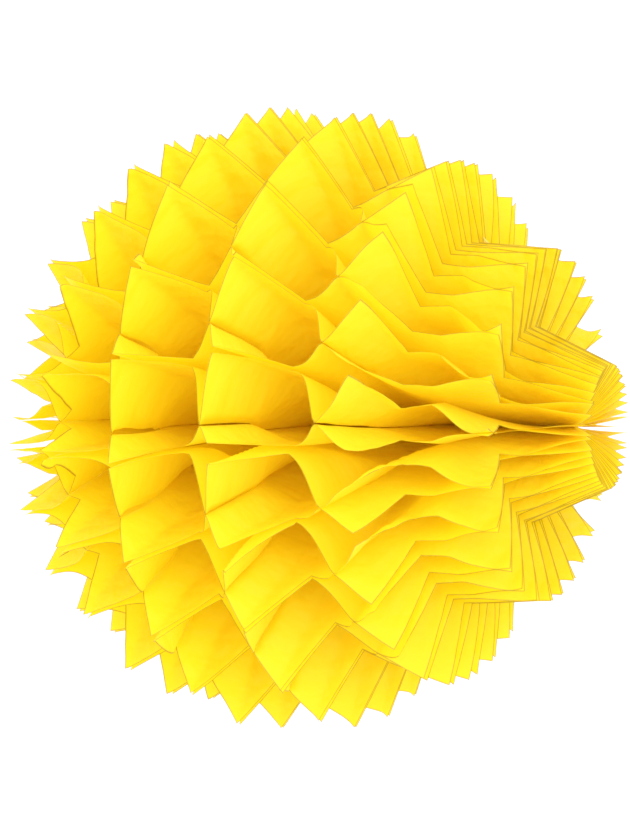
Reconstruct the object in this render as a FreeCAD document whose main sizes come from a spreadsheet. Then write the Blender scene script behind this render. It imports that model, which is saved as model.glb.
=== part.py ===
import FreeCAD, Part
import math
import os

import Sketcher

# Paper honeycomb ball ("flutter" ball): a stack of tissue half-discs with a toothed rim, bound
# along the straight edge and fanned all the way round, with a board cover at each end of the stack.
#
# Frame, in millimetres: the binding edge (the spine) lies along X, Z is up, and the origin is the
# middle of the spine. A leaf's place in the fan is its angle from the seam, where the two covers
# meet, going down the front (-Y), under the ball and up the back.

# ---------------------------------------------------------------- driving dimensions
DIMENSIONS = {
    "leaf_tip_radius": 152.0,      # flat leaf, centre of the straight edge to a tooth's tip
    "leaf_valley_radius": 133.0,   # the same to the notch between two teeth
    "glue_pitch": 25.0,            # between neighbouring glue lines, across the spine
    "leaf_thickness": 0.15,
    "leaf_gap": 0.2,               # clearance between neighbouring leaves
    "draw_in": 0.21,               # share of its width that the rim loses when the fan is open
    "seam_angle": 91.0,            # the covers, in degrees up from the front
    "valley_sag": 3.0,             # how far the free folds hang down, in degrees
    "bead_radius": 5.2,            # the glued edge of the stack
    "bead_clearance": 0.3,
    "bead_end_inset": 3.0,
    "thread_radius": 0.6,
    "thread_clearance": 0.05,
    "knot_radius": 1.8,
    "card_radius": 122.0,
    "card_inset": 18.0,            # from the spine to the board's straight edge
    "card_thickness": 0.8,
    "card_spacing": 0.5,           # between the two boards when the ball is open
    "hang_hole_radius": 2.0,
    "hang_hole_height": 112.0,
    "pad_width": 30.0,
    "pad_height": 16.0,
    "pad_thickness": 0.3,
    "pad_reach": 55.0,             # from the middle of the ball to a pad's centre
    "pad_level": 70.0,             # from the spine to a pad's centre
}

# Angles between neighbouring glued pairs of leaves, from the seam round to the seam again. A fan
# set up by hand is uneven: tight beside the covers, wide down the front.
PAIR_GAPS = [
    7.5, 7.5, 8.0, 12.0, 14.5, 15.0, 15.0, 16.0, 16.0, 14.5, 15.5, 15.0, 14.0, 13.0,
    12.0, 12.0, 12.0, 15.5, 16.0, 16.0, 16.0, 16.0, 16.0, 12.5, 11.0, 11.0, 10.0,
]
TEETH = 9
FULL_TURN = 360.0
HALF_TURN = 180.0

doc = FreeCAD.newDocument("honeycomb_ball")


def add_sheet():
    """Put the driving dimensions in a sheet, one named cell each."""
    sheet = doc.addObject("Spreadsheet::Sheet", "dimensions")
    for row, (name, value) in enumerate(DIMENSIONS.items(), start=1):
        sheet.set(f"A{row}", name)
        sheet.set(f"B{row}", str(value))
        sheet.setAlias(f"B{row}", name)
    doc.recompute()
    return sheet


sheet = add_sheet()


def size(name):
    return float(getattr(sheet, name))


def bind(feature, **expressions):
    """Tie properties of a feature to cells of the sheet."""
    for prop, expression in expressions.items():
        feature.setExpression(prop, expression)


def seam_placement(offset):
    """The seam's plane, moved by offset towards the back."""
    tilt = 90.0 - size("seam_angle")
    turn = FreeCAD.Rotation(FreeCAD.Vector(1, 0, 0), tilt)
    return FreeCAD.Placement(turn.multVec(FreeCAD.Vector(0, offset, 0)), turn)


# ---------------------------------------------------------------- spine
def add_spine():
    """The glued edge of the stack with the binding thread through it, knotted at both ends."""
    along_x = FreeCAD.Rotation(FreeCAD.Vector(0, 1, 0), 90)
    half = "(dimensions.leaf_valley_radius - dimensions.bead_end_inset)"

    outer = doc.addObject("Part::Cylinder", "bead_outside")
    bind(outer, Radius="dimensions.bead_radius", Height=f"2 * {half}")
    bore = doc.addObject("Part::Cylinder", "bead_bore")
    bind(bore, Radius="dimensions.thread_radius + dimensions.thread_clearance", Height=f"2 * {half}")
    for piece in (outer, bore):
        piece.Placement.Rotation = along_x
        bind(piece, **{"Placement.Base.x": f"-{half}"})
    bead = doc.addObject("Part::Cut", "spine_glue_bead")
    bead.Base = outer
    bead.Tool = bore

    strand = doc.addObject("Part::Cylinder", "thread_strand")
    reach = f"({half} + dimensions.knot_radius)"
    bind(strand, Radius="dimensions.thread_radius", Height=f"2 * {reach}")
    strand.Placement.Rotation = along_x
    bind(strand, **{"Placement.Base.x": f"-{reach}"})
    knots = []
    for side, sign in (("left", "-"), ("right", "")):
        knot = doc.addObject("Part::Sphere", f"thread_knot_{side}")
        bind(knot, Radius="dimensions.knot_radius", **{"Placement.Base.x": f"{sign}{reach}"})
        knots.append(knot)
    thread = doc.addObject("Part::MultiFuse", "binding_thread")
    thread.Shapes = [strand] + knots
    return [bead, thread]


# ---------------------------------------------------------------- covers
def add_card(name, side):
    """A half-round board with a hole for the hanging string. side is -1 at the front, 1 behind."""
    body = doc.addObject("PartDesign::Body", name)
    planes = {plane.Role: plane for plane in body.Origin.OriginFeatures}
    sketch = body.newObject("Sketcher::SketchObject", f"{name}_outline")
    sketch.AttachmentSupport = [(planes["XZ_Plane"], "")]
    sketch.MapMode = "FlatFace"

    radius, inset = size("card_radius"), size("card_inset")
    start = math.asin(inset / radius)
    rim = Part.ArcOfCircle(
        Part.Circle(FreeCAD.Vector(0, 0, 0), FreeCAD.Vector(0, 0, 1), radius), start, math.pi - start
    )
    half_width = radius * math.cos(start)
    edge = Part.LineSegment(
        FreeCAD.Vector(-half_width, inset, 0), FreeCAD.Vector(half_width, inset, 0)
    )
    hole = Part.Circle(
        FreeCAD.Vector(0, size("hang_hole_height"), 0),
        FreeCAD.Vector(0, 0, 1),
        size("hang_hole_radius"),
    )
    sketch.addGeometry([rim, edge, hole], False)
    named = {
        "": [
            Sketcher.Constraint("Coincident", 0, 3, -1, 1),
            Sketcher.Constraint("Coincident", 0, 2, 1, 1),
            Sketcher.Constraint("Coincident", 1, 2, 0, 1),
            Sketcher.Constraint("Horizontal", 1),
            Sketcher.Constraint("PointOnObject", 2, 3, -2),
        ],
        "card_radius": [Sketcher.Constraint("Radius", 0, radius)],
        "card_inset": [Sketcher.Constraint("DistanceY", -1, 1, 1, 1, inset)],
        "hang_hole_height": [
            Sketcher.Constraint("DistanceY", -1, 1, 2, 3, size("hang_hole_height"))
        ],
        "hang_hole_radius": [Sketcher.Constraint("Radius", 2, size("hang_hole_radius"))],
    }
    for cell, constraints in named.items():
        for constraint in constraints:
            index = sketch.addConstraint(constraint)
            if cell:
                sketch.renameConstraint(index, cell)
                sketch.setExpression(f"Constraints.{cell}", f"dimensions.{cell}")

    pad = body.newObject("PartDesign::Pad", f"{name}_board")
    pad.Profile = sketch
    pad.Midplane = True
    bind(pad, Length="dimensions.card_thickness")
    body.Tip = pad
    body.Placement = seam_placement(side * card_offset())
    return body


def card_offset():
    """From the seam's plane to the middle of a board."""
    return (size("card_spacing") + size("card_thickness")) / 2


def add_closing_pad(name, side):
    """A sticky pad on the front board that holds the rear board to it."""
    pad = doc.addObject("Part::Box", name)
    bind(
        pad,
        Length="dimensions.pad_width",
        Width="dimensions.pad_thickness",
        Height="dimensions.pad_height",
    )
    corner = FreeCAD.Vector(
        side * size("pad_reach") - size("pad_width") / 2,
        -size("card_spacing") / 2,
        size("pad_level") - size("pad_height") / 2,
    )
    on_seam = seam_placement(0)
    pad.Placement = FreeCAD.Placement(on_seam.Rotation.multVec(corner), on_seam.Rotation)
    return pad


# ---------------------------------------------------------------- flat leaves
def rim_point(station):
    """A corner of the toothed rim on the flat leaf: even stations are notches, odd ones tips."""
    angle = math.pi * station / (2 * TEETH)
    reach = size("leaf_tip_radius") if station % 2 else size("leaf_valley_radius")
    return reach * math.cos(angle), reach * math.sin(angle)


def inner_radius():
    return size("bead_radius") + size("bead_clearance")


def seam_leaf_offset():
    """From the seam's plane to the middle of the leaf pasted on a board."""
    return card_offset() + (size("card_thickness") + size("leaf_thickness")) / 2


def add_pasted_leaf(name, side):
    """The first or last leaf: flat on its board with the same hanging hole, and bent in to the spine."""
    half = size("leaf_thickness") / 2
    at_spine = side * size("leaf_gap")
    on_board = side * seam_leaf_offset()
    heights = (inner_radius(), size("card_inset") - size("card_thickness"), size("leaf_tip_radius"))
    middle_line = list(zip((at_spine, on_board, on_board), heights))
    section = [FreeCAD.Vector(-size("leaf_tip_radius"), y - half, z) for y, z in middle_line]
    section += [
        FreeCAD.Vector(-size("leaf_tip_radius"), y + half, z) for y, z in reversed(middle_line)
    ]
    bent = Part.Face(Part.makePolygon(section + section[:1]))
    bent = bent.extrude(FreeCAD.Vector(2 * size("leaf_tip_radius"), 0, 0))

    outline = [(size("leaf_valley_radius"), inner_radius())]
    outline += [rim_point(station) for station in range(1, 2 * TEETH)]
    outline += [(-size("leaf_valley_radius"), inner_radius())]
    depth = 2 * seam_leaf_offset()
    corners = [FreeCAD.Vector(x, -depth, z) for x, z in outline]
    cutter = Part.Face(Part.makePolygon(corners + corners[:1]))
    cutter = cutter.extrude(FreeCAD.Vector(0, 2 * depth, 0))
    hole = Part.makeCylinder(
        size("hang_hole_radius"),
        2 * depth,
        FreeCAD.Vector(0, -depth, size("hang_hole_height")),
        FreeCAD.Vector(0, 1, 0),
    )
    leaf = doc.addObject("Part::Feature", name)
    leaf.Shape = bent.common(cutter).cut(hole)
    leaf.Placement = seam_placement(0)
    return leaf


# ---------------------------------------------------------------- pleated leaves
def pair_angles():
    """The angle of each glued pair from the seam, scaled so that the gaps fill the turn."""
    scale = FULL_TURN / sum(PAIR_GAPS)
    angles = []
    total = 0.0
    for gap in PAIR_GAPS[:-1]:
        total += gap * scale
        angles.append(total)
    return angles


def fold_angles(pairs):
    """The angle at which each pair is glued to the next: halfway, and hanging down a little."""
    ends = [0.0] + pairs + [FULL_TURN]
    widest = max(PAIR_GAPS)
    folds = [0.0]
    for low, high in zip(ends[1:-2], ends[2:-1]):
        middle = (low + high) / 2
        level = math.cos(math.radians(size("seam_angle") - middle))
        folds.append(middle + size("valley_sag") * level * (high - low) / widest)
    return folds + [FULL_TURN]


def fold_share(across):
    """0 on the glue lines that join a pair, 1 on those between pairs, by distance across."""
    pitches = abs(across) / size("glue_pitch")
    return 1.0 - abs(1.0 - pitches % 2.0)


def angle_in_fan(across, radius, at_pair, at_fold, side):
    """Where a leaf passes, from the seam. side is -1 for a pair's first leaf and 1 for its second."""
    half_pitch = math.degrees((size("leaf_thickness") + size("leaf_gap")) / 2 / radius)
    share = fold_share(across)
    beside_pair = at_pair + side * half_pitch
    beside_fold = at_fold - side * half_pitch
    if at_fold in (0.0, FULL_TURN):
        beside_fold = at_fold
    angle = beside_pair + (beside_fold - beside_pair) * share
    covers = seam_leaf_offset() + size("leaf_thickness") + size("leaf_gap")
    taken = math.degrees(math.asin(covers / radius))
    return HALF_TURN + (angle - HALF_TURN) * (1.0 - taken / HALF_TURN)


def point_in_ball(across, radius, angle):
    """A point of the open ball. The rim draws in along the spine as the folds open."""
    pull = size("draw_in") * (radius / size("leaf_tip_radius")) ** 2
    up = math.radians(size("seam_angle") - angle)
    return FreeCAD.Vector(
        across * (1.0 - pull), -radius * math.cos(up), radius * math.sin(up)
    )


def leaf_grid():
    """Corners of the flat leaf in rows from the spine to the rim, and the triangles between them."""
    half = size("leaf_valley_radius")
    inner = inner_radius()
    corners = [(half, inner)]
    columns = []
    for station in range(1, 2 * TEETH):
        rim_x, rim_z = rim_point(station)
        foot_x = half * math.cos(math.pi * station / (2 * TEETH))
        column = []
        for step in (0.0, 0.5, 1.0):
            column.append(len(corners))
            corners.append((foot_x + (rim_x - foot_x) * step, inner + (rim_z - inner) * step))
        columns.append(column)
    last = len(corners)
    corners.append((-half, inner))

    triangles = []
    for near, far in zip(columns[:-1], columns[1:]):
        for row in range(2):
            triangles.append((near[row], near[row + 1], far[row + 1]))
            triangles.append((near[row], far[row + 1], far[row]))
    for end, column, flip in ((0, columns[0], False), (last, columns[-1], True)):
        for row in range(2):
            ends = (end, column[row + 1], column[row])
            triangles.append(ends[::-1] if flip else ends)
    border = [0]
    border += [column[2] for column in columns]
    border.append(last)
    border += [column[0] for column in reversed(columns)]
    return corners, triangles, border


def triangle_face(a, b, c):
    return Part.Face(Part.makePolygon([a, b, c, a]))


def add_pleated_leaf(name, at_pair, at_fold, side, grid):
    """A leaf of the fan as a thin closed solid of flat facets."""
    corners, triangles, border = grid
    layers = []
    for layer in (-0.5, 0.5):
        points = []
        for across, radius in corners:
            shift = math.degrees(layer * size("leaf_thickness") / radius)
            angle = angle_in_fan(across, radius, at_pair, at_fold, side) + shift
            points.append(point_in_ball(across, radius, angle))
        layers.append(points)
    under, over = layers
    faces = [triangle_face(under[a], under[b], under[c]) for a, b, c in triangles]
    faces += [triangle_face(over[a], over[c], over[b]) for a, b, c in triangles]
    for here, there in zip(border, border[1:] + border[:1]):
        faces.append(triangle_face(under[here], over[here], over[there]))
        faces.append(triangle_face(under[here], over[there], under[there]))
    leaf = doc.addObject("Part::Feature", name)
    solid = Part.Solid(Part.Shell(faces))
    if solid.Volume < 0:
        solid.reverse()
    leaf.Shape = solid
    return leaf


def leaf_name(number):
    return f"tissue_leaf_{number:02d}"


def add_leaves():
    pairs = pair_angles()
    folds = fold_angles(pairs)
    grid = leaf_grid()
    leaves = [add_pasted_leaf(leaf_name(1), -1)]
    for index, at_pair in enumerate(pairs):
        first = 2 * index + 2
        leaves.append(add_pleated_leaf(leaf_name(first), at_pair, folds[index], -1, grid))
        leaves.append(add_pleated_leaf(leaf_name(first + 1), at_pair, folds[index + 1], 1, grid))
    leaves.append(add_pasted_leaf(leaf_name(2 * len(pairs) + 2), 1))
    return leaves


# ---------------------------------------------------------------- build, check and write
def check(pieces):
    """Stop before anything is written if a piece isn't a sound solid."""
    for item in doc.Objects:
        if "Invalid" in item.State or "Error" in item.State:
            raise RuntimeError(f"{item.Name} did not build")
    for piece in pieces:
        shape = piece.Shape
        if shape.isNull() or not shape.isValid() or shape.Volume <= 0:
            raise RuntimeError(f"{piece.Label} is not a sound solid")


pieces = add_spine()
pieces.append(add_card("front_cover_card", -1))
pieces.append(add_card("rear_cover_card", 1))
pieces.append(add_closing_pad("closing_pad_left", -1))
pieces.append(add_closing_pad("closing_pad_right", 1))
pieces += add_leaves()
doc.recompute()
check(pieces)

os.makedirs("parts", exist_ok=True)
for piece in pieces:
    piece.Shape.exportStep(f"parts/{piece.Label}.step")
print(f"{len(pieces)} pieces written")
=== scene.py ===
import math

import bpy
import numpy as np
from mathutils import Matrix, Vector
from mathutils.geometry import delaunay_2d_cdt


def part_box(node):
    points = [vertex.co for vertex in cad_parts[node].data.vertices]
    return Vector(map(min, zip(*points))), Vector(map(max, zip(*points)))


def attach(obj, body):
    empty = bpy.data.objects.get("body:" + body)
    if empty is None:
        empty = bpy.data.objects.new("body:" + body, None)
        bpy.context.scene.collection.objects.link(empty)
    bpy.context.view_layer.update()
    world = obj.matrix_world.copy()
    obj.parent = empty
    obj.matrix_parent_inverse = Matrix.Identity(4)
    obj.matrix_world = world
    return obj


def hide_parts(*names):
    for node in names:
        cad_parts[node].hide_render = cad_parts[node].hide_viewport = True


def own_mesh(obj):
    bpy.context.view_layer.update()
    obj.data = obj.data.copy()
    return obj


# Paper honeycomb ball: tissue leaves bound along a spine (X) and fanned all the way round it.
# Metres; Z is up, the front is -Y. A leaf's place is its angle from the seam of the covers, going
# down the front, under the ball and up the back.

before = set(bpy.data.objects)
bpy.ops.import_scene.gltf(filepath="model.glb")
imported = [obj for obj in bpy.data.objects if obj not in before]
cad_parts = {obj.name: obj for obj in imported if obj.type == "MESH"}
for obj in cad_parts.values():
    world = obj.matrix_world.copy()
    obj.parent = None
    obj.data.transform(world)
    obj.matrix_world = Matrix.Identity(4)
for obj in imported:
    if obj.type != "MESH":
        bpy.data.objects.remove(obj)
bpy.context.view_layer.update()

# ---------------------------------------------------------------- sizes of the ball
TIP_RADIUS = 0.152
NOTCH_RADIUS = 0.125
END_RADIUS = 0.133          # where the rim meets the spine
GLUE_PITCH = 0.025
SPACING = 0.00035           # between the middles of two leaves that are glued together
DRAW_IN = 0.21              # share of its width that the rim loses when the fan is open
SEAM_ANGLE = 91.0           # of the covers, up from straight ahead
VALLEY_SAG = 3.0            # degrees that the folds straight ahead hang down
SPINE_RADIUS = 0.0009       # where the gathered leaves start
SPINE_HALF = 0.130          # half the length of the glued spine
COVER_CLEARANCE = 0.001475  # the first free leaf stays this far from the seam's plane
PASTED_OFFSET = 0.001125    # and the pasted leaves this far
BOARD_START = 0.0172        # how far from the spine they lie flat on their boards
TEETH = 9
# from one glued pair of leaves to the next, as shares of the whole turn
PAIR_GAPS = [
    7.5, 7.5, 8.0, 12.0, 14.5, 15.0, 15.0, 16.0, 16.0, 14.5, 15.5, 15.0, 14.0, 13.0,
    12.0, 12.0, 12.0, 15.5, 16.0, 16.0, 16.0, 16.0, 16.0, 12.5, 11.0, 11.0, 10.0,
]
LEAN = (0, 0.14, 0.22, 0.26, 0.06, 0)  # how far the folds move sideways at the rim, left to right
STEEP = 0.92                # how much of the steep shape they take there
STEEPNESS = 6               # the power that makes that shape

# distances from a glue line at which the sheet is given points, closest where it creases
ACROSS_STEPS = (0.0, 0.0011, 0.0024, 0.0043, 0.0068, 0.0096)
UP_STEP = 0.0027
EDGE_STEP = 0.0015
GLUE_LINES = 6              # glue lines on each side of the middle one

PAPER_SPAN = 0.32           # metres of flat paper across the square that its finish is laid out in


def fan_angles():
    """Angles of the glued pairs of leaves, and of the folds between pairs, from the seam."""
    turn = np.cumsum(PAIR_GAPS) * 360.0 / sum(PAIR_GAPS)
    pairs = turn[:-1]
    low, high = pairs[:-1], pairs[1:]
    middle = (low + high) / 2
    hang = np.cos(np.radians(SEAM_ANGLE - middle)) * (high - low) / max(PAIR_GAPS)
    return pairs, np.concatenate([[0.0], middle + VALLEY_SAG * hang, [360.0]])


PAIRS, FOLDS = fan_angles()
LAST = 2 * len(PAIRS) + 2


# ---------------------------------------------------------------- soft noise for hand-made paper
SCATTER, STIR = np.uint64(0x9E3779B97F4A7C15), np.uint64(0xBF58476D1CE4E5B9)


def chance(*whole):
    """A number from 0 to 1 for whole-numbered places, the same on every run."""
    h = np.zeros(np.broadcast(*whole).shape, np.uint64)
    for part in whole:
        h = (h ^ np.asarray(part).astype(np.int64).astype(np.uint64)) * SCATTER
        h = h ^ (h >> np.uint64(29))
        h = h * STIR
        h = h ^ (h >> np.uint64(32))
    return (h >> np.uint64(11)).astype(float) / float(1 << 53)


def ripple(across, up, layer, size, kind):
    """Smooth random waves from -1 to 1 over a leaf, about size metres apart."""
    x, y = across / size + 101.3, up / size + 57.7
    x0, y0 = np.floor(x), np.floor(y)
    fx, fy = x - x0, y - y0
    fx, fy = fx * fx * (3 - 2 * fx), fy * fy * (3 - 2 * fy)
    near = chance(x0, y0, layer, kind) * (1 - fx) + chance(x0 + 1, y0, layer, kind) * fx
    far = chance(x0, y0 + 1, layer, kind) * (1 - fx) + chance(x0 + 1, y0 + 1, layer, kind) * fx
    return 2 * (near * (1 - fy) + far * fy) - 1


def ramp(value, low, high):
    """0 below low, 1 above high, smooth between."""
    t = np.clip((value - low) / (high - low), 0.0, 1.0)
    return t * t * (3 - 2 * t)


# ---------------------------------------------------------------- the flat, die-cut leaf
def rim_corner(station):
    """A corner of the toothed rim: odd stations are tips, even ones notches, 0 and the last its ends."""
    angle = math.pi * station / (2 * TEETH)
    reach = TIP_RADIUS if station % 2 else NOTCH_RADIUS
    if station in (0, 2 * TEETH):
        reach = END_RADIUS
    return Vector((reach * math.cos(angle), max(reach * math.sin(angle), SPINE_RADIUS)))


def along(a, b, step):
    """Points from a up to but not including b, about step apart."""
    count = max(1, round((b - a).length / step))
    return [a.lerp(b, i / count) for i in range(count)]


def inside(point, outline, margin):
    """True if a flat point is within the outline by more than margin."""
    hits, nearest = 0, 1e9
    for a, b in zip(outline, outline[1:] + outline[:1]):
        if (a.y > point.y) != (b.y > point.y):
            if point.x < a.x + (point.y - a.y) * (b.x - a.x) / (b.y - a.y):
                hits += 1
        t = max(0.0, min(1.0, (point - a).dot(b - a) / (b - a).length_squared))
        nearest = min(nearest, (point - a.lerp(b, t)).length)
    return hits % 2 == 1 and nearest > margin


def cut_blank():
    """The flat leaf that every leaf is folded from, its points in lines along the glue."""
    corners = [rim_corner(station) for station in range(2 * TEETH + 1)]
    points = []
    for a, b in zip(corners, corners[1:]):
        points += along(a, b, EDGE_STEP)
    points += along(corners[-1], corners[0], 2 * EDGE_STEP)
    border = len(points)
    lines = set()
    for line in range(-GLUE_LINES, GLUE_LINES + 1):
        for step in ACROSS_STEPS:
            lines.update((round(line * GLUE_PITCH + step, 6), round(line * GLUE_PITCH - step, 6)))
        lines.add(round((line + 0.5) * GLUE_PITCH, 6))
    rows = int(TIP_RADIUS / UP_STEP)
    for index, across in enumerate(sorted(lines)):
        for row in range(rows):
            up = SPINE_RADIUS + UP_STEP * (row + 0.5 * (1 + index % 2))
            point = Vector((across, up))
            if inside(point, corners, EDGE_STEP * 0.55):
                points.append(point)
    loop = [(i, (i + 1) % border) for i in range(border)]
    flat, _, faces, *_ = delaunay_2d_cdt(points, loop, [list(range(border))], 1, 1e-7)
    mesh = bpy.data.meshes.new("leaf_blank")
    mesh.from_pydata([(p.x, p.y, 0.0) for p in flat], [], faces)
    place = np.array([(p.x, p.y) for p in flat])
    uv = mesh.uv_layers.new(name="paper")
    corner_of = np.zeros(len(mesh.loops), np.int32)
    mesh.loops.foreach_get("vertex_index", corner_of)
    uv.data.foreach_set("uv", (place[corner_of] / PAPER_SPAN + (0.5, 0.0)).ravel())
    area = sum(polygon.area for polygon in mesh.polygons)
    return mesh, place, area


# ---------------------------------------------------------------- folding
SHARPNESS = 0.988                # of a fold: 1 would be a knife edge
STRAIGHT_SHARE = 0.72            # the rest of a bay's shape is a rounded wave
STEEP_REACH = 4 * GLUE_PITCH     # bays further out than this never get steep
RIM_ZONE = (0.080, 0.112)        # distances from the middle where the folds start to lean, and have leant
NOTCH_ZONE = (0.092, 0.118)      # the same for the two notches that stand half open
OPEN_NOTCH, OPEN_WIDTH, OPEN_SHARE = 50, 11, 0.46   # degrees off straight out, degrees, share of a cell
GLUE_WANDER = 0.0007
WAVES = (0.20, 0.26)             # how far glued pairs and folds stray, in half gaps
LOOSE_END, LOOSE_TIP, SNUG_TIP = 0.75, 0.25, 0.06   # how far unglued and glued tips stand open
NOD, LIFT = 0.34, 2.2            # of the tips, in half gaps, and of cells right of the middle, in degrees
LIFT_MIDDLE, LIFT_WIDTH = 66, 18     # degrees round the leaf, where 90 is the middle
CLEAR_OF_COVERS = (1, 30)        # degrees from the seam at which leaves start to move, and move freely
TIP_SHORTENING = 0.024           # share of the radius that the pulled tips lose
# height, slant, stretch, size and kind of each layer of crumples, from broad to fine
CRUMPLES = (
    (0.12, 0.0, 1.0, 0.034, 2),
    (0.065, 0.35, 0.5, 0.011, 3),
    (0.020, -0.5, 1.0, 0.0052, 4),
)


def crease(across, at_rim):
    """0 on the glue lines that join a pair, 1 on those between pairs.

    Near the rim the folds lean to the right: a pair stays together past its tips as far as the
    notch, turns steeply to the fold, then runs straight to the next tip.
    """
    bay = across / (2 * GLUE_PITCH)
    number = np.floor(bay)
    bay = bay - number
    lean = np.array(LEAN)[(number + 3).astype(int).clip(0, len(LEAN) - 1)]
    fold = 0.5 + at_rim * lean
    away = np.where(bay < fold, bay / fold, (1 - bay) / (1 - fold))
    wave = np.cos(np.pi * away)
    straight = 0.5 - np.arcsin(SHARPNESS * wave) / (2 * math.asin(SHARPNESS))
    even = straight * STRAIGHT_SHARE + (0.5 - 0.5 * wave) * (1 - STRAIGHT_SHARE)
    held = STEEP * at_rim * (bay < fold) * (np.abs(across) < STEEP_REACH)
    return even * (1 - held) + straight**STEEPNESS * held


def tooth(across, up):
    """The number of the tooth that a point lies under, and how far out on it: 1 at the tip."""
    number = np.floor(np.degrees(np.arctan2(up, across)) / (180.0 / TEETH)).clip(0, TEETH - 1)
    root = NOTCH_RADIUS * 0.93
    reach = (np.hypot(across, up) - root) / (TIP_RADIUS - root)
    return number, np.clip(reach, 0.0, 1.0)


def in_ball(across, up, angle):
    """Places in the open ball of flat points at these angles round the fan."""
    across = across * (1 - DRAW_IN * (up / TIP_RADIUS) ** 2)
    reach = up * (1 - TIP_SHORTENING * (up / TIP_RADIUS) ** 10)
    turn = np.radians(SEAM_ANGLE - angle)
    return np.stack([across, -reach * np.cos(turn), reach * np.sin(turn)], 1)


def pleated(flat, number):
    """Points of a leaf folded zigzag between the glue lines of its two neighbours."""
    across, up = flat[:, 0], flat[:, 1]
    pair, side = (number - 2) // 2, 1 if number % 2 else -1
    fold = pair + (side + 1) // 2
    at_pair, at_fold = PAIRS[pair], FOLDS[fold]
    half_gap = abs(at_fold - at_pair)
    free_fold = 0 < fold < len(FOLDS) - 1

    around = np.degrees(np.arctan2(up, across))
    from_middle = np.hypot(across, up)
    at_rim = ramp(from_middle, *RIM_ZONE)
    share = crease(across + GLUE_WANDER * ripple(across, up, 0, 0.018, 1), at_rim)
    which, tip = tooth(across, up)

    # the outer glue lines run out at these notches, which stand half open
    half_open = np.maximum(0, 1 - np.abs(np.abs(around - 90) - OPEN_NOTCH) / OPEN_WIDTH)
    share = np.maximum(share, OPEN_SHARE * half_open * ramp(from_middle, *NOTCH_ZONE))

    # the glue gives way at some tips, most often at the teeth nearest the spine's ends
    end_tooth = np.abs(which - 4) >= 3
    let_go = chance(which, pair, 5)
    open_up = np.where(end_tooth, let_go * LOOSE_END, np.where(let_go > 0.8, LOOSE_TIP, SNUG_TIP))
    share = share + open_up * tip**1.6 * (1 - share) * (0.8 + 0.4 * chance(which, number, 6))

    # soft folds and crumples, none on a glue line
    free = 4 * share * (1 - share)
    crumple = 0.0
    for height, slant, stretch, size, kind in CRUMPLES:
        crumple = crumple + height * ripple(across + slant * up, up * stretch, number, size, kind)
    share = share + crumple * free * ramp(up, 0.012, 0.06)

    reach = np.maximum(up, 1e-4)
    apart = np.minimum(np.degrees(SPACING / 2 / reach), 0.2 * half_gap)
    beside_pair = at_pair + side * apart
    beside_fold = at_fold - side * apart * free_fold
    level = np.zeros_like(across)
    near_pair = min(at_pair - FOLDS[pair], FOLDS[pair + 1] - at_pair)
    beside_pair = beside_pair + WAVES[0] * near_pair * ripple(across, level, pair, 0.042, 9)
    if free_fold:
        near_fold = min(at_fold - PAIRS[fold - 1], PAIRS[fold] - at_fold)
        beside_fold = beside_fold + WAVES[1] * near_fold * ripple(across, level, fold, 0.036, 10)
    angle = beside_pair + (beside_fold - beside_pair) * share

    # tips nod up or down with their glued neighbour
    nod = (chance(which, pair, 7) - 0.5) * NOD * near_pair
    lift = LIFT * np.exp(-(((around - LIFT_MIDDLE) / LIFT_WIDTH) ** 2)) * at_rim
    free_room = ramp(180 - np.abs(angle - 180), *CLEAR_OF_COVERS)
    angle = angle + (nod * tip**2 * (1 - share) - lift) * free_room
    taken = np.degrees(np.arcsin(np.minimum(COVER_CLEARANCE / reach, 0.5)))
    angle = 180 + (angle - 180) * (1 - taken / 180)
    return in_ball(across, up, angle)


def pasted(flat, side):
    """Points of the first or last leaf: flat on its board, bent in to the spine, loose at the rim."""
    across, up = flat[:, 0], flat[:, 1]
    layer = 1 if side < 0 else LAST
    at_spine = 0.0002
    to_board = ramp(up, 0.002, BOARD_START)
    offset = at_spine + (PASTED_OFFSET - at_spine) * to_board
    loose = ramp(np.hypot(across, up), 0.119, TIP_RADIUS)
    offset = offset + 0.00012 * (1 + ripple(across, up, layer, 0.012, 3)) * to_board
    offset = offset + 0.0009 * loose * (0.4 + ripple(across, up, layer, 0.03, 2))
    points = in_ball(across, up, np.zeros_like(up))
    tilt = math.radians(SEAM_ANGLE)
    normal = np.array([0.0, math.sin(tilt), math.cos(tilt)])
    return points + side * offset[:, None] * normal


def hand_over(piece, body, finish, slot, *nodes):
    """Give a piece its material and the body that it rides, and hide the nodes of the frame it stands
    for.
    """
    piece.data.materials.clear()
    piece.data.materials.append(finish)
    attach(piece, body)
    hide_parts(*nodes)


def fold_leaves(finish):
    blank, flat, area = cut_blank()
    covers = {1: ("fixed_cover", "front_cover_card", -1), LAST: ("rear_cover", "rear_cover_card", 1)}
    for number in range(1, LAST + 1):
        mesh = blank.copy()
        mesh.name = f"leaf_{number:02d}_tissue"
        if number in covers:
            body, board, side = covers[number]
            points = pasted(flat, side)
        else:
            body = f"leaf_{number:02d}"
            points = pleated(flat, number)
        mesh.vertices.foreach_set("co", points.astype(np.float32).ravel())
        mesh.shade_smooth()
        mesh.update()
        leaf = bpy.data.objects.new(mesh.name, mesh)
        bpy.context.scene.collection.objects.link(leaf)
        hand_over(leaf, body, finish, "yellow_tissue", f"tissue_leaf_{number:02d}")
        if number in covers:
            continue
        pair, side = (number - 2) // 2, number % 2
        middle = math.radians(SEAM_ANGLE - (PAIRS[pair] + FOLDS[pair + side]) / 2)
        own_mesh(leaf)
    bpy.data.meshes.remove(blank)


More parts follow.
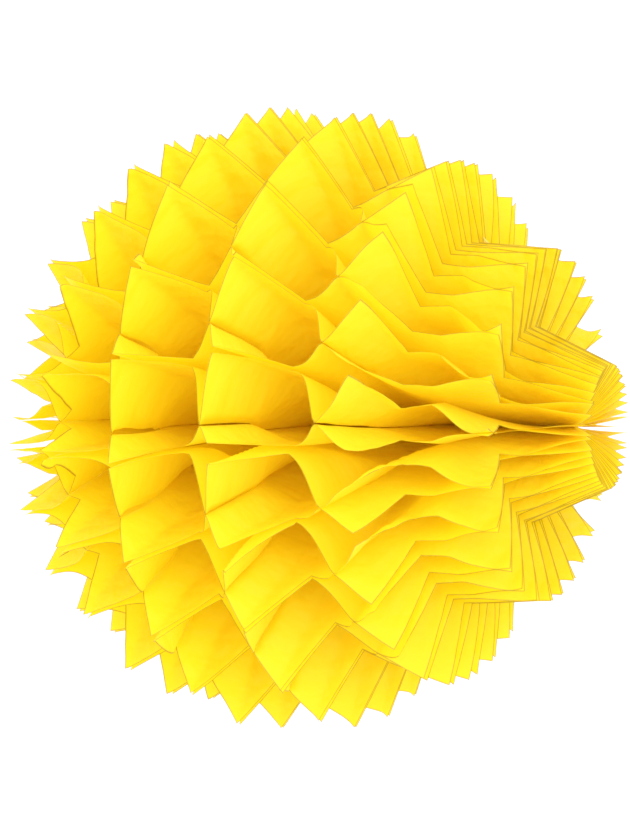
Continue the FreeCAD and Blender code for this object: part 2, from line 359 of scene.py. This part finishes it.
# ---------------------------------------------------------------- materials
class Wire:
    """A shader socket that can be worked on with the signs for sums, products, powers and remainders."""

    def __init__(self, finish, socket):
        self.finish, self.socket = finish, socket

    def math(self, operation, *values):
        return self.finish.node("ShaderNodeMath", {"operation": operation}, *values)

    def __add__(self, other):
        return self.math("ADD", self, other)

    def __sub__(self, other):
        return self.math("SUBTRACT", self, other)

    def __mul__(self, other):
        return self.math("MULTIPLY", self, other)

    def __rsub__(self, other):
        return self.math("SUBTRACT", other, self)

    def __pow__(self, other):
        return self.math("POWER", self, other)

    def __mod__(self, other):
        return self.math("FLOORED_MODULO", self, other)

    def __abs__(self):
        return self.math("ABSOLUTE", self)

    __radd__, __rmul__ = __add__, __mul__


class Finish:
    """A material under construction."""

    def __init__(self, name):
        self.material = bpy.data.materials.new(name)
        self.material.use_nodes = True
        self.tree = self.material.node_tree
        self.tree.nodes.clear()

    def node(self, kind, settings=None, *values, out=0, **named):
        """Add a node: its settings, then its inputs in order or by name. Returns one output."""
        made = self.tree.nodes.new(kind)
        for key, value in (settings or {}).items():
            setattr(made, key, value)
        for key, value in [*enumerate(values), *named.items()]:
            key = key.replace("_", " ") if isinstance(key, str) else key
            if value is None:
                continue
            if isinstance(value, Wire):
                self.tree.links.new(value.socket, made.inputs[key])
            else:
                made.inputs[key].default_value = value
        return Wire(self, made.outputs[out])

    def mix(self, share, first, second):
        """A colour between two others. A plain colour is three numbers."""
        full = [c if isinstance(c, Wire) else (*c, 1.0) for c in (first, second)]
        settings = {"data_type": "RGBA"}
        made = self.node("ShaderNodeMix", settings, share, out=2)
        for index, colour in zip((6, 7), full):
            if isinstance(colour, Wire):
                self.tree.links.new(colour.socket, made.socket.node.inputs[index])
            else:
                made.socket.node.inputs[index].default_value = colour
        return made

    def noise(self, place, scale, detail=3.0, rough=0.5):
        return self.node(
            "ShaderNodeTexNoise", None, Vector=place, Scale=scale, Detail=detail, Roughness=rough
        )

    def smooth(self, value, low, high):
        """0 below low, 1 above high, smooth between."""
        return self.node(
            "ShaderNodeMapRange", {"interpolation_type": "SMOOTHSTEP"}, value, low, high
        )

    def coat(self, colour, roughness, **others):
        """The plain opaque surface that most finishes end in."""
        return self.node(
            "ShaderNodeBsdfPrincipled", None, Base_Color=colour, Roughness=roughness, **others
        )

    def bump(self, height, strength, distance, normal=None):
        return self.node(
            "ShaderNodeBump", None, Strength=strength, Distance=distance, Height=height, Normal=normal
        )

    def out(self, shader):
        output = self.tree.nodes.new("ShaderNodeOutputMaterial")
        self.tree.links.new(shader.socket, output.inputs["Surface"])
        return self.material


def tissue_finish():
    """Dyed tissue: thin enough to glow, faintly mottled, with painted shade in a dark line along the cut
    edges and a deeper orange towards the spine.
    """
    f = Finish("yellow_tissue")
    uv = f.node("ShaderNodeUVMap", {"uv_map": "paper"})
    place = f.node("ShaderNodeTexCoord", None, out=3)
    parts = f.node("ShaderNodeSeparateXYZ", None, uv)
    up = Wire(f, parts.socket.node.outputs[1]) * PAPER_SPAN
    across = (parts - 0.5) * PAPER_SPAN

    # distance in from the cut edge, worked out from the shape of one tooth
    reach = (across * across + up * up) ** 0.5
    turn = up.math("ARCTAN2", up, across)
    pitch = math.pi / TEETH
    off_tip = abs(turn % pitch - pitch / 2)
    out_from, off_line = reach * off_tip.math("COSINE", off_tip), reach * off_tip.math("SINE", off_tip)

    def from_side(notch_radius):
        """Distance in from the side of a tooth that starts at a notch of this radius."""
        side = Vector((math.cos(pitch / 2), math.sin(pitch / 2))) * notch_radius
        side = (side - Vector((TIP_RADIUS, 0))).normalized()
        return (TIP_RADIUS - out_from) * side.y + off_line * side.x

    at_end = up.math("GREATER_THAN", abs(turn - math.pi / 2), (math.pi - pitch) / 2)
    inner = from_side(NOTCH_RADIUS)
    from_edge = inner + (from_side(END_RADIUS) - inner) * at_end
    wander = f.noise(uv, 90.0, 2.0)
    # painted shade: a thin dark ochre line along the cut edges stands in for the shade at the paper's
    # edges, and the glow is taken out there too
    edge = 1 - f.smooth(from_edge, 0.0002, wander * 0.0004 + 0.0006)

    mottle = f.noise(place, 38.0, 4.0, 0.6)
    fibres = f.noise(uv, 900.0, 3.0, 0.7)
    colour = f.mix(mottle, (1.0, 0.70, 0.0015), (1.0, 0.77, 0.005))
    colour = f.mix(f.smooth(fibres, 0.35, 0.75) * 0.12, colour, (1.0, 0.84, 0.02))
    # painted shade: the tissue turns a deeper orange towards the spine, where the hollows of the cells
    # lie in shade
    painted_hollow_shade = 1 - f.smooth(up, 0.012, 0.085)
    colour = f.mix(painted_hollow_shade * 0.3, colour, (1.0, 0.66, 0.001))
    # painted shade along the cut edges
    colour = f.mix(edge, colour, (0.42, 0.25, 0.002))

    folds = f.noise(uv, 26.0, 2.0, 0.45)
    crinkle = f.noise(uv, 120.0, 3.0, 0.55)
    normal = f.bump(folds, 0.6, 0.006)
    normal = f.bump(crinkle, 0.25, 0.0009, normal)
    roughness = f.smooth(fibres, 0.0, 1.0) * 0.15 + 0.62
    paper = f.coat(colour, roughness, Normal=normal, Specular_IOR_Level=0.12)
    glow = f.node("ShaderNodeBsdfTranslucent", None, (1.0, 0.76, 0.003, 1.0), Normal=normal)
    return f.out(f.node("ShaderNodeMixShader", None, (1 - edge) * 0.48, paper, glow))


def board_finish():
    """Dyed card, grainy, with a few paler flecks."""
    f = Finish("yellow_board")
    place = f.node("ShaderNodeTexCoord", None, out=3)
    grain = f.noise(place, 260.0, 5.0, 0.65)
    flecks = f.smooth(f.noise(place, 900.0, 2.0), 0.62, 0.72)
    colour = f.mix(grain, (0.80, 0.48, 0.008), (0.92, 0.60, 0.02))
    colour = f.mix(flecks * 0.35, colour, (0.55, 0.36, 0.10))
    return f.out(f.coat(colour, grain * 0.2 + 0.7, Normal=f.bump(grain, 0.3, 0.0003)))


def glue_finish():
    """Dried glue, cloudy and slightly shiny."""
    f = Finish("dried_glue")
    place = f.node("ShaderNodeTexCoord", None, out=3)
    cloud = f.noise(place, 180.0, 4.0)
    colour = f.mix(cloud, (0.80, 0.50, 0.02), (0.95, 0.72, 0.10))
    return f.out(f.coat(colour, cloud * 0.25 + 0.3, Normal=f.bump(cloud, 0.4, 0.0006)))


def thread_finish():
    """Fuzzy dyed cotton."""
    f = Finish("cotton_thread")
    place = f.node("ShaderNodeTexCoord", None, out=3)
    fuzz = f.noise(place, 2400.0, 4.0, 0.7)
    colour = f.mix(fuzz, (0.86, 0.62, 0.08), (0.98, 0.82, 0.25))
    return f.out(f.coat(colour, fuzz * 0.1 + 0.85, Normal=f.bump(fuzz, 0.5, 0.0001)))


def pad_finish():
    """Off-white backing of a sticky pad."""
    f = Finish("sticky_pad")
    place = f.node("ShaderNodeTexCoord", None, out=3)
    weave = f.noise(place, 500.0, 4.0, 0.6)
    colour = f.mix(weave, (0.86, 0.82, 0.66), (0.95, 0.93, 0.84))
    return f.out(f.coat(colour, weave * 0.2 + 0.35, Normal=f.bump(weave, 0.3, 0.0002)))


# ---------------------------------------------------------------- spine, thread and pads
BEAD_RADIUS = 0.00125
BEAD_END = 0.006                 # the bead thins over this length
THREAD_TURNS, STEPS_A_TURN = 84, 6
STRAND_RADIUS, STRAND_OFFSET = 0.00026, 0.00024
KNOT_RADIUS, KNOT_LOOP, KNOT_STEPS = 0.0003, 0.00034, 30
PAD_SIZE = (0.030, 0.0003, 0.016)


def clear_selection():
    bpy.ops.object.select_all(action="DESELECT")


def only(piece):
    """Select one piece and no other."""
    clear_selection()
    piece.select_set(True)
    bpy.context.view_layer.objects.active = piece
    return piece


def settle(piece):
    """Put a piece's place into its mesh."""
    only(piece)
    bpy.ops.object.transform_apply(location=True, rotation=True, scale=True)
    return piece


def finish_piece(piece, name, finish, slot, node):
    """Name a piece that stays with the fixed cover and hand it over."""
    settle(piece)
    piece.name = piece.data.name = name
    hand_over(piece, "fixed_cover", finish, slot, node)


def select_edges(piece, axis, least):
    """Select the edges that run further than least along an axis, 0 for x or 1 for y."""
    bpy.ops.object.mode_set(mode="EDIT")
    bpy.ops.mesh.select_all(action="DESELECT")
    bpy.ops.mesh.select_mode(type="EDGE")
    bpy.ops.object.mode_set(mode="OBJECT")
    for edge in piece.data.edges:
        a, b = (piece.data.vertices[i].co[axis] for i in edge.vertices)
        edge.select = abs(a - b) > least
    bpy.ops.object.mode_set(mode="EDIT")


def add_spine_glue():
    """The bead of dried glue round the gathered edge, lumpy and thinner at its ends."""
    clear_selection()
    bpy.ops.mesh.primitive_cylinder_add(
        vertices=20, radius=BEAD_RADIUS, depth=2 * SPINE_HALF, end_fill_type="NGON",
        rotation=(0, math.pi / 2, 0),
    )
    bead = settle(bpy.context.object)
    select_edges(bead, 0, SPINE_HALF)
    bpy.ops.mesh.subdivide(number_cuts=120)
    bpy.ops.object.mode_set(mode="OBJECT")
    for vertex in bead.data.vertices:
        x, y, z = vertex.co
        lump = ripple(np.array([x]), np.array([math.atan2(z, y) * 0.002]), 3, 0.004, 9)[0]
        slim = 1 - 0.3 * ramp(abs(x), SPINE_HALF - BEAD_END, SPINE_HALF)
        vertex.co.y = y * slim * (1 + 0.12 * lump)
        vertex.co.z = z * slim * (1 + 0.12 * lump)
    bpy.ops.object.shade_smooth_by_angle(angle=math.radians(50))
    return bead


def soft_rope(name, points, thickness, closed=False):
    """A round strand along points, as a mesh."""
    line = bpy.data.curves.new(name, "CURVE")
    line.dimensions = "3D"
    line.bevel_depth, line.bevel_resolution, line.resolution_u = thickness, 2, 2
    line.use_fill_caps = True
    spline = line.splines.new("NURBS")
    spline.points.add(len(points) - 1)
    for spot, point in zip(spline.points, points):
        spot.co = (*point, 1.0)
    spline.order_u = 4
    spline.use_endpoint_u, spline.use_cyclic_u = not closed, closed
    strand = bpy.data.objects.new(name, line)
    bpy.context.scene.collection.objects.link(strand)
    only(strand)
    bpy.ops.object.convert(target="MESH")
    return bpy.context.object


def add_thread():
    """Two twisted strands of cotton through the spine, with an overhand knot at each end."""
    reach = SPINE_HALF + 0.0012
    strands = []
    for start in (0.0, math.pi):
        twist = []
        for step in range(THREAD_TURNS * STEPS_A_TURN + 1):
            share = step / (THREAD_TURNS * STEPS_A_TURN)
            turn = start + 2 * math.pi * THREAD_TURNS * share
            y, z = STRAND_OFFSET * math.cos(turn), STRAND_OFFSET * math.sin(turn)
            twist.append((reach * (2 * share - 1), y, z))
        strands.append(soft_rope("strand", twist, STRAND_RADIUS))
    for end in (-1, 1):
        for spin in (0.0, 0.5):
            loop = []
            for step in range(KNOT_STEPS):
                t = 2 * math.pi * step / KNOT_STEPS
                x = end * (reach + 0.0005) - 0.0009 * math.sin(3 * t)
                y = KNOT_LOOP * (math.sin(t + spin) + 2 * math.sin(2 * t + spin))
                z = KNOT_LOOP * (math.cos(t + spin) - 2 * math.cos(2 * t + spin))
                loop.append((x, y, z))
            strands.append(soft_rope("knot", loop, KNOT_RADIUS, closed=True))
    clear_selection()
    for strand in strands:
        strand.select_set(True)
    bpy.context.view_layer.objects.active = strands[0]
    bpy.ops.object.join()
    bpy.ops.object.shade_smooth()
    return bpy.context.object


def add_pad(node):
    """A sticky pad with rounded corners and eased edges, in the place of its node in the frame."""
    low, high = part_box(node)
    clear_selection()
    bpy.ops.mesh.primitive_cube_add(size=1.0)
    pad = bpy.context.object
    pad.scale = PAD_SIZE
    settle(pad)
    select_edges(pad, 1, 0.0002)
    bpy.ops.mesh.bevel(offset=0.003, segments=5, affect="EDGES")
    bpy.ops.object.mode_set(mode="OBJECT")
    soften = pad.modifiers.new("edges", "BEVEL")
    soften.width, soften.segments = 0.00008, 2
    only(pad)
    bpy.ops.object.modifier_apply(modifier="edges")
    pad.rotation_euler.x = math.radians(90.0 - SEAM_ANGLE)
    pad.location = (low + high) / 2
    settle(pad)
    bpy.ops.object.shade_smooth_by_angle(angle=math.radians(40))
    return pad


tissue = tissue_finish()
board, glue, cotton, sticky = board_finish(), glue_finish(), thread_finish(), pad_finish()
fold_leaves(tissue)
finish_piece(add_spine_glue(), "glue_along_spine", glue, "dried_glue", "spine_glue_bead")
finish_piece(add_thread(), "cotton_binding", cotton, "cotton_thread", "binding_thread")
for hand in ("left", "right"):
    node = f"closing_pad_{hand}"
    finish_piece(add_pad(node), f"sticky_pad_{hand}", sticky, "sticky_pad", node)
for cover in ("front_cover_card", "rear_cover_card"):
    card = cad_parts[cover]
    card.data.materials.clear()
    card.data.materials.append(board)


# ---------------------------------------------------------------- room, light and camera
FLOOR_SIZE, FLOOR_LEVEL = 80.0, -1.15
WORLD_STRENGTH = 1.5
VIEW_GAMMA = 1.5
VIEW_AZIMUTH, VIEW_ELEVATION, VIEW_DISTANCE = 31.42, 2.34, 0.5616
AIM_RIGHT, AIM_BELOW = 0.00203, 0.00051
LENS, SENSOR_WIDTH = 49.27, 36.0


def towards(azimuth, elevation):
    """Unit vector from the ball, azimuth degrees to the right of straight ahead."""
    a, e = math.radians(azimuth), math.radians(elevation)
    return Vector((math.sin(a) * math.cos(e), -math.cos(a) * math.cos(e), math.sin(e)))


def add_room():
    clear_selection()
    bpy.ops.mesh.primitive_plane_add(size=FLOOR_SIZE, location=(0, 0, FLOOR_LEVEL))
    floor = bpy.context.object
    floor.name = "studio_floor"
    pale = Finish("pale_floor")
    floor.data.materials.append(pale.out(pale.coat((0.985, 0.985, 0.98, 1.0), 0.9)))

    world = bpy.data.worlds.new("white_room")
    world.use_nodes = True
    background = world.node_tree.nodes["Background"]
    background.inputs["Color"].default_value = (1.0, 1.0, 1.0, 1.0)
    background.inputs["Strength"].default_value = WORLD_STRENGTH
    bpy.context.scene.world = world
    bpy.context.scene.view_settings.view_transform = "Standard"
    bpy.context.scene.view_settings.gamma = VIEW_GAMMA


def add_softbox(name, azimuth, elevation, distance, width, power):
    """A square soft light that faces the ball."""
    lamp = bpy.data.lights.new(name, "AREA")
    lamp.shape, lamp.size, lamp.energy = "SQUARE", width, power
    softbox = bpy.data.objects.new(name, lamp)
    bpy.context.scene.collection.objects.link(softbox)
    away = towards(azimuth, elevation)
    softbox.location = away * distance
    softbox.rotation_euler = away.to_track_quat("Z", "Y").to_euler()


def add_camera():
    away = towards(VIEW_AZIMUTH, VIEW_ELEVATION)
    right = Vector((-away.y, away.x, 0.0)).normalized()
    above = right.cross(-away)
    eye = bpy.data.cameras.new("camera")
    eye.lens, eye.sensor_width = LENS, SENSOR_WIDTH
    camera = bpy.data.objects.new("camera", eye)
    bpy.context.scene.collection.objects.link(camera)
    camera.location = away * VIEW_DISTANCE
    aim = right * AIM_RIGHT - above * AIM_BELOW
    camera.rotation_euler = (camera.location - aim).to_track_quat("Z", "Y").to_euler()
    bpy.context.scene.camera = camera


add_room()
add_softbox("key", azimuth=52.0, elevation=22.0, distance=1.4, width=1.0, power=7.0)
add_softbox("fill", azimuth=10.0, elevation=8.0, distance=1.6, width=1.3, power=4.0)
add_camera()
